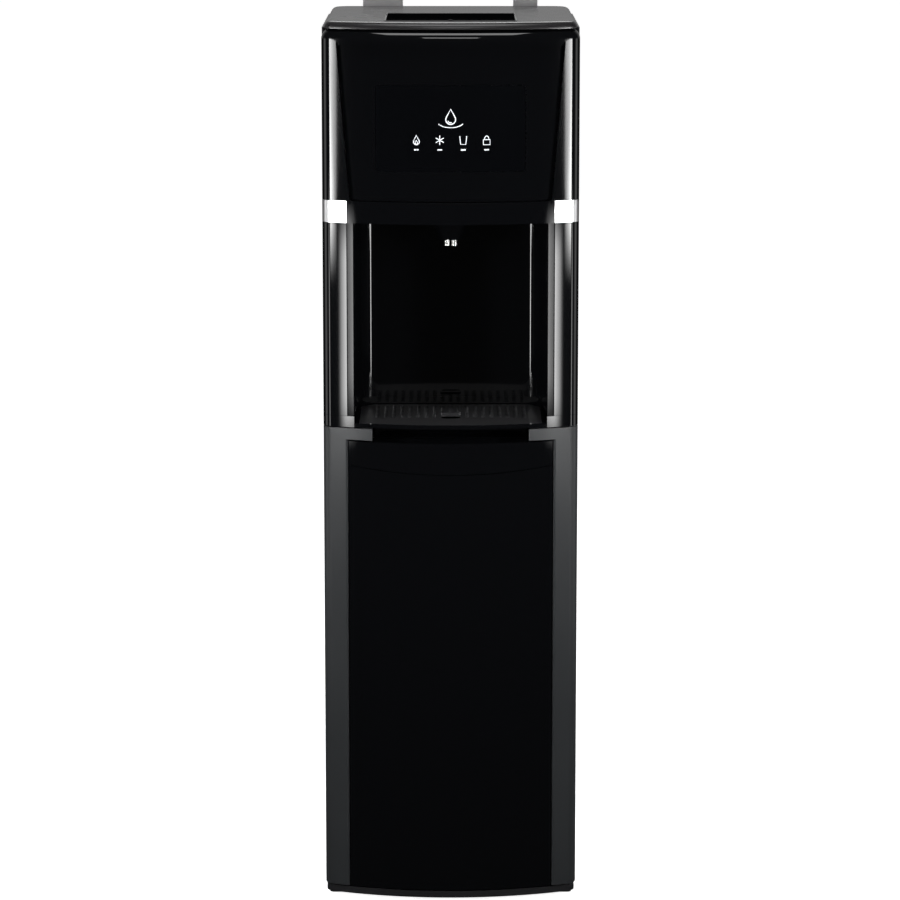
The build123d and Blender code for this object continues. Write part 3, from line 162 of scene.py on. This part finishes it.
def glow_card(name, side, turn, reach, low, high, size, level, lean=0.0):
    """A card that glows along its middle and fades to its edges, seen only in reflections.

    It stands turn degrees round from the front, at a reach from the cabinet's front corner.
    """
    start = Vector((side * FRONT_CORNER, -FRONT_CORNER, 0))
    angle = math.radians(turn)
    way = Vector((side * math.sin(angle), -math.cos(angle), 0))
    middle = start + way * reach + Vector((0, 0, (low + high) / 2))
    bpy.ops.mesh.primitive_plane_add(size=1.0, location=middle)
    card = bpy.context.object
    card.name = name
    card.scale = (size, high - low, 1)
    card.rotation_euler = (-way).to_track_quat("Z", "Y").to_euler()
    card.rotation_euler.rotate_axis("Z", math.radians(lean))
    card.visible_camera = False
    card.visible_shadow = False
    glow = bpy.data.materials.new(name)
    glow.use_nodes = True
    s = Socket(glow.node_tree)
    spot = s.node("TexCoord", output=3)
    across = s.node("SeparateXYZ", inputs={0: spot}, output=0)
    along = s.node("SeparateXYZ", inputs={0: spot}, output=1)
    edge = s.math("ABSOLUTE", across).fade(0.5, 0.0)
    end = s.math("ABSOLUTE", along).fade(0.5, 0.25)
    shine = s.node("Emission", inputs={"Color": (edge * end).mix(BLACK, WHITE), "Strength": level})
    glow.node_tree.links.new(shine.link, glow.node_tree.nodes["Material Output"].inputs[0])
    card.data.materials.append(glow)


MIDDLE = (0, 0, 0.55)
for side in (-1, 1):
    label = "left" if side < 0 else "right"
    glow_card(f"head_card_{label}", side, 48.0, 1.2, 0.60, 1.26, 0.19, 70.0, side * 2)
    glow_card(f"column_card_{label}", side, 60.0, 1.2, 0.10, 0.80, 0.15, 5.0)
    glow_card(f"niche_card_{label}", side, 37.5, 0.614, 0.45, 0.80, 0.11, 19.0)
    glow_card(f"side_card_{label}", side, 95.0, 1.2, 0.0, 1.25, 0.9, 1.2)
softbox("top_box", (0, -0.9, 3.0), (0, -0.1, 0.8), (1.6, 0.9), 20)
softbox("front_box", (0, -3.6, 2.6), (0, -0.1, 0.6), (1.4, 0.7), 14)
softbox("back_box", (0, 2.2, 3.5), MIDDLE, (2.2, 1.2), 45)


# Base pan, plinth and feet: a zinc-plated folded pan, a moulded bar under the door,
# and rubber pads pressed into both.
def finish(name, colour, rough, metal=0.0, surface=None, **fixed):
    """A material with fixed sockets, and a function that returns the sockets that vary."""
    material = bpy.data.materials.new(name)
    material.use_nodes = True
    shader = material.node_tree.nodes["Principled BSDF"]
    values = {"Base Color": (*colour, 1), "Roughness": rough, "Metallic": metal, **fixed}
    for socket, value in values.items():
        shader.inputs[socket].default_value = value
    varying = surface(Socket(material.node_tree)) if surface else {}
    for socket, value in varying.items():
        material.node_tree.links.new(value.link, shader.inputs[socket])
    return material


def skin(colour, rough, normal=None):
    """The sockets that vary on a plain surface."""
    varying = {"Base Color": colour, "Roughness": rough}
    return {**varying, "Normal": normal} if normal else varying


def bump(s, height, strength, distance=0.0002):
    """A normal from a height socket."""
    return s.node("Bump", inputs={"Height": height, "Strength": strength, "Distance": distance})


def place(s):
    """Object coordinates, in metres."""
    return s.node("TexCoord", output=3)


def noise(s, scale, detail=3.0, rough=0.5, where=None):
    """A noise value, over object coordinates unless where is given."""
    inputs = {"Vector": where or place(s), "Scale": scale, "Detail": detail, "Roughness": rough}
    return s.node("TexNoise", inputs=inputs)


def dress(material, *names):
    """Gives CAD parts a material."""
    for name in names:
        mesh = nodes[name].data
        mesh.materials.clear()
        mesh.materials.append(material)


def spangled(s):
    cells = s.node("TexVoronoi", inputs={"Vector": place(s), "Scale": 120.0}, output=1)
    tone = s.node("SeparateColor", inputs={0: cells})
    grey = tone.mix((0.42, 0.43, 0.45, 1), (0.62, 0.63, 0.64, 1))
    return skin(grey, tone * 0.18 + 0.28, bump(s, noise(s, 700.0), 0.15))


def moulded_grain(s, tone, shade, low, high):
    """Fine spark-eroded texture with a slow drift of shade."""
    drift = noise(s, 6.0, 2.0)
    colour = drift.mix((*tone, 1), (*shade, 1))
    rough = drift * (high - low) + low
    grain = bump(s, noise(s, 2400.0, 2.0, 0.6), 0.25, 0.00008)
    return skin(colour, rough, grain)


def rubbery(s):
    dust = noise(s, 40.0, 5.0, 0.65)
    colour = dust.mix((0.008, 0.008, 0.008, 1), (0.03, 0.03, 0.031, 1))
    return skin(colour, dust * 0.2 + 0.6, bump(s, noise(s, 1500.0), 0.3))


zinc = finish("zinc_plate", (0.55, 0.56, 0.58), 0.35, 1.0, spangled)
satin_black = finish(
    "satin_black_moulding", (0.012, 0.012, 0.013), 0.45,
    surface=lambda s: moulded_grain(s, (0.009, 0.009, 0.010), (0.016, 0.016, 0.018), 0.40, 0.52),
)
rubber = finish("foot_rubber", (0.02, 0.02, 0.02), 0.7, surface=rubbery)
dress(zinc, "base_plate")
dress(satin_black, "front_plinth")
dress(rubber, "feet")


# Side and rear panels: folded steel, powder coated black with a fine orange peel.
def powder_coat(s):
    drift = noise(s, 3.0, 2.0)
    peel = noise(s, 900.0, 2.0, 0.45)
    colour = drift.mix((0.010, 0.010, 0.011, 1), (0.016, 0.016, 0.018, 1))
    return skin(colour, drift * 0.08 + 0.34, bump(s, peel, 0.35, 0.0001))


coated_steel = finish("black_powder_coat", (0.013, 0.013, 0.014), 0.38, surface=powder_coat)
dress(coated_steel, "left_side_panel", "right_side_panel", "rear_panel")
dress(zinc, "rear_panel_screws")


# Bottle compartment: a moulded floor, the white fork on the left panel, the probe that
# hangs from it, and the silicone hose from the probe's cap up to the pump.
def natural_plastic(s):
    drift = noise(s, 12.0, 3.0)
    colour = drift.mix((0.70, 0.70, 0.67, 1), (0.80, 0.80, 0.78, 1))
    return skin(colour, drift * 0.12 + 0.32, bump(s, noise(s, 1300.0), 0.12))


def silicone_skin(s):
    drift = noise(s, 30.0, 3.0)
    colour = drift.mix((0.55, 0.58, 0.60, 1), (0.70, 0.73, 0.74, 1))
    return skin(colour, drift * 0.15 + 0.25, bump(s, noise(s, 900.0), 0.1))


white_plastic = finish("natural_white_moulding", (0.78, 0.78, 0.76), 0.36, surface=natural_plastic)
silicone = finish(
    "silicone_hose", (0.6, 0.63, 0.65), 0.3, surface=silicone_skin, **{"Subsurface Weight": 0.3},
)
dress(satin_black, "bottle_floor")
dress(white_plastic, "probe_hanger", "bottle_probe")
dress(silicone, "bottle_hose")


def new_piece(name, mesh, material, body, smooth=True):
    """A finished piece from a bmesh, riding on a body."""
    data = bpy.data.meshes.new(name)
    bmesh.ops.recalc_face_normals(mesh, faces=mesh.faces)
    mesh.to_mesh(data)
    mesh.free()
    for face in data.polygons:
        face.use_smooth = smooth
    data.materials.append(material)
    piece = bpy.data.objects.new(name, data)
    bpy.context.scene.collection.objects.link(piece)
    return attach(piece, body) if body else piece


def tube_along(name, points, radius, material, around=20, steps=12):
    """A round hose along a smooth spline, capped at both ends."""
    curve = bpy.data.curves.new(name + "_route", "CURVE")
    curve.dimensions = "3D"
    spline = curve.splines.new("NURBS")
    spline.points.add(len(points) - 1)
    for point, spot in zip(spline.points, points):
        point.co = (*spot, 1)
    spline.order_u = 3
    spline.use_endpoint_u = True
    spline.resolution_u = steps
    curve.bevel_depth = radius
    curve.bevel_resolution = around // 4
    curve.use_fill_caps = True
    holder = bpy.data.objects.new(name + "_route", curve)
    bpy.context.scene.collection.objects.link(holder)
    bpy.context.view_layer.update()
    data = bpy.data.meshes.new_from_object(holder)
    bpy.data.objects.remove(holder)
    data.materials.clear()
    data.materials.append(material)
    for face in data.polygons:
        face.use_smooth = True
    piece = bpy.data.objects.new(name, data)
    bpy.context.scene.collection.objects.link(piece)
    return piece


HOSE_RADIUS = 0.0045
probe_low, probe_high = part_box("bottle_probe")
pump_low, pump_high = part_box("water_pump")
probe_middle = (probe_low + probe_high) / 2
hose_top = probe_high.z + 0.0103
port_y = (pump_low.y + pump_high.y) / 2
port_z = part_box("bottle_hose")[1].z - HOSE_RADIUS
rise_x = 0.006
hose_route = [
    (probe_middle.x, probe_middle.y, probe_high.z + 0.0003),
    (probe_middle.x, probe_middle.y, probe_high.z + 0.004),
    (probe_middle.x, probe_middle.y, hose_top - 0.001),
    (probe_middle.x + 0.012, probe_middle.y - 0.001, hose_top),
    (rise_x - 0.060, 0.108, hose_top),
    (rise_x - 0.006, 0.099, hose_top),
    (rise_x, port_y + 0.012, hose_top + 0.004),
    (rise_x, port_y, hose_top + 0.013),
    (rise_x, port_y, port_z - 0.006),
    (rise_x + 0.004, port_y, port_z),
    (pump_low.x - 0.0003, port_y, port_z),
]
probe_hose = tube_along("probe_hose", hose_route, HOSE_RADIUS, silicone)
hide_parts("bottle_hose")
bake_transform(probe_hose)


# Machine deck: a zinc-plated shelf with the enamelled compressor on rubber mounts,
# the pump, and the copper pipes brazed between the compressor and the coil.
def enamel(s):
    drift = noise(s, 8.0, 3.0)
    colour = drift.mix((0.008, 0.008, 0.009, 1), (0.018, 0.018, 0.02, 1))
    return skin(colour, drift * 0.2 + 0.22, bump(s, noise(s, 260.0), 0.2))


def copper_skin(s):
    tarnish = noise(s, 45.0, 5.0, 0.7)
    colour = tarnish.mix((0.62, 0.27, 0.14, 1), (0.80, 0.42, 0.26, 1))
    return skin(colour, tarnish * 0.25 + 0.18)


black_enamel = finish("black_enamel", (0.012, 0.012, 0.013), 0.3, surface=enamel)
copper = finish("copper_pipe", (0.75, 0.36, 0.2), 0.28, 1.0, copper_skin)
dress(zinc, "machine_deck")
dress(black_enamel, "compressor", "condenser")
dress(rubber, "compressor_mounts")
dress(satin_black, "water_pump", "power_box", "condenser_clips")
dress(copper, "refrigerant_lines", "evaporator_coil")


# Tanks: brushed stainless cans, the cold one wound with copper inside two foam halves,
# the hot one closed by its heater. White moulded lid, float and valves.
def brushed(s):
    across = s.node("Mapping", inputs={"Vector": place(s), "Scale": (30.0, 30.0, 1500.0)})
    lines = noise(s, 1.0, 4.0, 0.6, across)
    grey = lines.mix((0.50, 0.50, 0.49, 1), (0.68, 0.68, 0.66, 1))
    return skin(grey, lines * 0.2 + 0.18, bump(s, lines, 0.08))


def foam_beads(s):
    inputs = {"Vector": place(s), "Scale": 260.0}
    edge = s.node("TexVoronoi", {"feature": "DISTANCE_TO_EDGE"}, inputs)
    bead = s.node("MapRange", inputs={0: edge, 1: 0.0, 2: 0.12})
    colour = bead.mix((0.66, 0.66, 0.63, 1), (0.84, 0.84, 0.82, 1))
    return skin(colour, bead * -0.1 + 0.85, bump(s, bead, 0.5, 0.0004))


stainless = finish("brushed_stainless", (0.6, 0.6, 0.59), 0.26, 1.0, brushed)
foam = finish("bead_foam", (0.8, 0.8, 0.78), 0.8, surface=foam_beads)
dress(stainless, "cold_tank", "hot_tank", "heater_flange", "spouts")
dress(foam, "tank_insulation")
dress(white_plastic, "cold_tank_lid", "tank_float", "dispense_valves")
dress(silicone, "water_hoses")


# Alcove: a gloss black niche under a satin ceiling plate, between two gloss columns,
# with the tapered nozzle shroud over a satin grille in a gloss tray and deck.
def piano_black(s):
    """Polished moulding: almost flat, with faint waviness and a little dust."""
    waves = noise(s, 24.0, 1.0, 0.4)
    dust = noise(s, 420.0, 6.0, 0.75)
    speck = s.node("MapRange", inputs={0: dust, 1: 0.62, 2: 0.78})
    colour = speck.mix((0.0022, 0.0024, 0.003, 1), (0.006, 0.006, 0.007, 1))
    return skin(colour, speck * 0.06 + 0.05, bump(s, waves, 0.02, 0.0004))


gloss_black = finish("gloss_black_moulding", (0.003, 0.003, 0.004), 0.06, surface=piano_black)
dress(gloss_black, "alcove_columns", "alcove_liner", "nozzle_housing", "drip_tray", "tray_deck")
dress(satin_black, "alcove_ceiling", "drip_grille")


# Head: a gloss frame and fascia, a smoked lens over the touch board, and two silver
# accent blocks clipped in at the lower corners.
def chrome_satin(s):
    drift = noise(s, 18.0, 2.0)
    colour = drift.mix((0.80, 0.80, 0.81, 1), (0.90, 0.90, 0.91, 1))
    return skin(colour, drift * 0.1 + 0.26, bump(s, noise(s, 1800.0), 0.06))


def circuit(s):
    inputs = {"Vector": place(s), "Scale": 90.0, "Mortar Size": 0.02}
    cells = s.node("TexBrick", inputs=inputs, output=1)
    colour = cells.mix((0.01, 0.06, 0.03, 1), (0.03, 0.14, 0.07, 1))
    return skin(colour, cells * 0.1 + 0.35)


def smoked(s):
    drift = noise(s, 5.0, 1.0)
    colour = drift.mix((0.0012, 0.0014, 0.0019, 1), (0.002, 0.0023, 0.003, 1))
    return skin(colour, drift * 0.01 + 0.02)


satin_chrome = finish("satin_chrome", (0.85, 0.85, 0.86), 0.3, 1.0, chrome_satin)
smoked_lens = finish("smoked_lens", (0.0015, 0.0017, 0.0022), 0.025, surface=smoked)
board_green = finish("circuit_board", (0.02, 0.1, 0.05), 0.4, surface=circuit)
dress(gloss_black, "head_shell", "fascia_panel")
dress(smoked_lens, "control_lens")
dress(board_green, "control_board")
dress(satin_chrome, "side_accents")


# Panel prints: a plain drop mark and four small function marks, screened in white on
# the back of the lens and lit by the board. They follow the lens's bow.
head_low, head_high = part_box("head_shell")
HALF_WIDTH = (head_high.x - head_low.x) / 2
BOW = 0.033
BOW_RADIUS = (HALF_WIDTH ** 2 + BOW ** 2) / (2 * BOW)
PRINT_PROUD = 0.00012


def bow_y(x, front_y):
    """Y of a bowed face at x, whose middle is at front_y."""
    inset = front_y - head_low.y
    radius = BOW_RADIUS - inset
    return front_y + radius - math.sqrt(radius ** 2 - x ** 2)


def lit_print(s):
    patches = noise(s, 900.0, 2.0)
    colour = patches.mix((0.62, 0.65, 0.68, 1), (0.80, 0.83, 0.86, 1))
    return {"Base Color": colour, "Emission Color": colour}


def flat_print(s):
    wear = noise(s, 700.0, 3.0)
    return skin(wear.mix((0.60, 0.60, 0.60, 1), (0.72, 0.72, 0.72, 1)), wear * 0.2 + 0.45)


print_paint = finish("white_print", (0.68, 0.68, 0.68), 0.5, surface=flat_print)
print_white = finish(
    "backlit_print", (0.7, 0.7, 0.7), 0.4, surface=lit_print, **{"Emission Strength": 0.55},
)


def stroke(mesh, points, width, front_y, closed=False):
    """A flat printed line through 2-D points, laid on the bowed lens."""
    count = len(points)
    sides = []
    for index, (x, z) in enumerate(points):
        before = points[(index - 1) % count] if closed or index else points[index]
        after = points[(index + 1) % count] if closed or index < count - 1 else points[index]
        along = Vector((after[0] - before[0], after[1] - before[1])).normalized()
        across = Vector((-along.y, along.x)) * width / 2
        pair = []
        for way in (-1, 1):
            px, pz = x + way * across.x, z + way * across.y
            pair.append(mesh.verts.new((px, bow_y(px, front_y) - PRINT_PROUD, pz)))
        sides.append(pair)
    last = count if closed else count - 1
    for index in range(last):
        a, b = sides[index], sides[(index + 1) % count]
        mesh.faces.new((a[0], a[1], b[1], b[0]))


def arc(middle, radius, start, end, steps=24, squash=1.0):
    """Points along an arc, in degrees."""
    points = []
    for step in range(steps + 1):
        turn = math.radians(start + (end - start) * step / steps)
        across, up = radius * math.cos(turn), radius * squash * math.sin(turn)
        points.append((middle[0] + across, middle[1] + up))
    return points


def drop(middle, size):
    """Closed outline of a water drop, its point up."""
    low = (middle[0], middle[1] - size * 0.35)
    return arc(low, size * 0.65, 150, 390, 30) + [(middle[0], middle[1] + size)]


FRONT_OF_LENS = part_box("control_lens")[0].y
ICON_LEVEL, MARK_LEVEL = 0.940, 0.9285
ICON_STEP = 0.028
ICON_REACH = 0.0055
BAR_HALF = 0.0028
LINE = 0.0011
ICON_PLACES = [0.001 + (index - 1.5) * ICON_STEP for index in range(4)]


def flame(x, z):
    return [drop((x, z), 0.0055), drop((x, z - 0.0025), 0.0022)]


def flake(x, z):
    """Three crossing arms."""
    arms = []
    for turn in (30, 90, 150):
        dx = ICON_REACH * math.cos(math.radians(turn))
        dz = ICON_REACH * math.sin(math.radians(turn))
        arms.append([(x - dx, z - dz), (x + dx, z + dz)])
    return arms


def cup(x, z):
    """A beaker, open at the top."""
    outline = ((-0.0042, 0.005), (-0.003, -0.005), (0.003, -0.005), (0.0042, 0.005))
    return [[(x + dx, z + dz) for dx, dz in outline]]


def padlock(x, z):
    """A square body under a tall shackle."""
    top, foot = z + 0.0005, z - 0.0055
    left, right = x - 0.004, x + 0.004
    body = [(left, top), (left, foot), (right, foot), (right, top), (left, top)]
    return [body, arc((x, z + 0.0008), 0.0026, 0, 180, 12, 1.6)]


ICONS = {"hot": flame, "cold": flake, "fill": cup, "lock": padlock}
for x, (name, drawing) in zip(ICON_PLACES, ICONS.items()):
    mesh = bmesh.new()
    for line in drawing(x, ICON_LEVEL):
        stroke(mesh, line, LINE, FRONT_OF_LENS, closed=name == "hot")
    bar = [(x - BAR_HALF, MARK_LEVEL), (x + BAR_HALF, MARK_LEVEL)]
    stroke(mesh, bar, LINE * 1.6, FRONT_OF_LENS)
    new_piece(f"icon_{name}", mesh, print_white, "cabinet", smooth=False)

MARK_X, MARK_Z = 0.0, 0.968
gleam = arc((MARK_X, MARK_Z - 0.0035), 0.0036, 200, 290, 12)
ripple = arc((MARK_X, MARK_Z - 0.006), 0.0155, 200, 340, 24, 0.45)
mesh = bmesh.new()
stroke(mesh, drop((MARK_X, MARK_Z), 0.009), LINE * 1.3, FRONT_OF_LENS, closed=True)
stroke(mesh, gleam, LINE, FRONT_OF_LENS)
stroke(mesh, ripple, LINE, FRONT_OF_LENS)
new_piece("drop_mark", mesh, print_white, "cabinet", smooth=False)


# Top cover: a satin graphite moulding with a gloss black well let into it, and two spacer
# tabs behind its back edge, painted light grey for the grazing reflection they show.
graphite = finish(
    "graphite_moulding", (0.08, 0.08, 0.085), 0.4,
    surface=lambda s: moulded_grain(s, (0.014, 0.013, 0.014), (0.019, 0.018, 0.019), 0.24, 0.30),
)
# The tabs' light grey is a painted reflection: the grazing sheen of the bright room, put into
# their colour.
tab_grey_painted_sheen = finish(
    "tab_painted_sheen_moulding", (0.25, 0.25, 0.25), 0.5,
    surface=lambda s: moulded_grain(s, (0.36, 0.355, 0.36), (0.42, 0.415, 0.42), 0.45, 0.55),
)
dress(graphite, "top_cover")
dress(tab_grey_painted_sheen, "rear_spacers")
dress(gloss_black, "top_recess_insert")


# Door: a gloss panel and cap between satin graphite trims, a satin inner liner, white
# bushes on steel pins, and a plate that the magnet holds.
trim_graphite = finish(
    "trim_moulding", (0.03, 0.032, 0.034), 0.32,
    surface=lambda s: moulded_grain(s, (0.026, 0.028, 0.030), (0.034, 0.036, 0.038), 0.30, 0.36),
)


def ferrite(s):
    grain = noise(s, 600.0, 4.0)
    return skin(grain.mix((0.05, 0.05, 0.05, 1), (0.11, 0.11, 0.11, 1)), grain * 0.2 + 0.5)


magnet = finish("ferrite_magnet", (0.08, 0.08, 0.08), 0.6, 0.4, ferrite)
dress(gloss_black, "door_panel", "door_handle_cap")
dress(trim_graphite, "left_door_trim", "right_door_trim")
dress(satin_black, "door_liner", "door_posts")
dress(white_plastic, "door_hinge_bushes")
dress(zinc, "door_hinges", "door_catch_plate")
dress(magnet, "catch_magnet")


# Rear fittings: a moulded bezel with two coloured rockers and their printed marks, the
# drain outlet and its cap, the rubber gland that the cord would leave by, and flat black
# crosses on the panel's screws, painted shade standing in for their cross recesses.
def rocker_skin(s, deep, bright):
    drift = noise(s, 60.0, 2.0)
    return skin(drift.mix((*deep, 1), (*bright, 1)), drift * 0.1 + 0.2)


rocker_red = finish(
    "red_rocker", (0.4, 0.02, 0.02), 0.25,
    surface=lambda s: rocker_skin(s, (0.36, 0.012, 0.01), (0.45, 0.02, 0.015)),
)
rocker_green = finish(
    "green_rocker", (0.02, 0.25, 0.06), 0.25,
    surface=lambda s: rocker_skin(s, (0.012, 0.2, 0.05), (0.02, 0.27, 0.07)),
)
dress(satin_black, "switch_bezel", "drain_cap")
dress(rocker_red, "heater_rocker")
dress(rocker_green, "cooler_rocker")
dress(white_plastic, "drain_outlet")
dress(rubber, "mains_gland")

MARK_LIFT = 0.00008
PIVOT_Y, PIVOT_Z = 0.1535, 0.985
ON_MARK = (0.9885, 0.9935)
OFF_MARK, OFF_RADIUS = 0.9795, 0.0022
SCREW_X = 0.145
SCREW_LEVELS = (0.045, 0.330, 0.620, 0.910, 1.050)
CROSS_REACH = 0.0021
screw_face_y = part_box("rear_panel_screws")[1].y


def flat_mark(mesh, points, width, face_y):
    """A flat line through (x, z) points on a rear face, a printed mark or painted recess shade;
    face_y gives the face's y at z.
    """
    for (x0, z0), (x1, z1) in zip(points, points[1:]):
        along = Vector((x1 - x0, z1 - z0)).normalized()
        across = Vector((-along.y, along.x)) * width / 2
        corners = ((x0 - across.x, z0 - across.y), (x0 + across.x, z0 + across.y),
                   (x1 + across.x, z1 + across.y), (x1 - across.x, z1 - across.y))
        mesh.faces.new([mesh.verts.new((x, face_y(z) + MARK_LIFT, z)) for x, z in corners])


def screw_face(z):
    """Y of the screws' heads, the same at every z."""
    return screw_face_y


def upper_face(z):
    """Y of a rocker's upper face, which stands out towards its top."""
    return PIVOT_Y + (z - PIVOT_Z) * 2 / 11


def lower_face(z):
    """Y of a rocker's lower face, which falls away towards its foot."""
    return PIVOT_Y - (PIVOT_Z - z) * 1.5 / 11.5


# The screws' cross recesses are flat near-black marks on the heads: painted shade, not real
# hollows.
painted_recess_shade = finish("painted_recess_shade", (0.01, 0.01, 0.01), 0.7, surface=rubbery)
mesh = bmesh.new()
for x in (-SCREW_X, SCREW_X):
    for z in SCREW_LEVELS:
        for dx in (CROSS_REACH, -CROSS_REACH):
            ends = [(x - dx, z - CROSS_REACH), (x + dx, z + CROSS_REACH)]
            flat_mark(mesh, ends, 0.0009, screw_face)
new_piece("screw_recess_painted_shade", mesh, painted_recess_shade, "cabinet", smooth=False)
for rocker_name, body in (("heater_rocker", "heater_switch"), ("cooler_rocker", "cooler_switch")):
    low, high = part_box(rocker_name)
    x = (low.x + high.x) / 2
    mesh = bmesh.new()
    flat_mark(mesh, [(x, z) for z in ON_MARK], 0.0011, upper_face)
    flat_mark(mesh, arc((x, OFF_MARK), OFF_RADIUS, 0, 360, 18), 0.0009, lower_face)
    marks = new_piece(f"marks_{rocker_name}", mesh, print_paint, body, smooth=False)
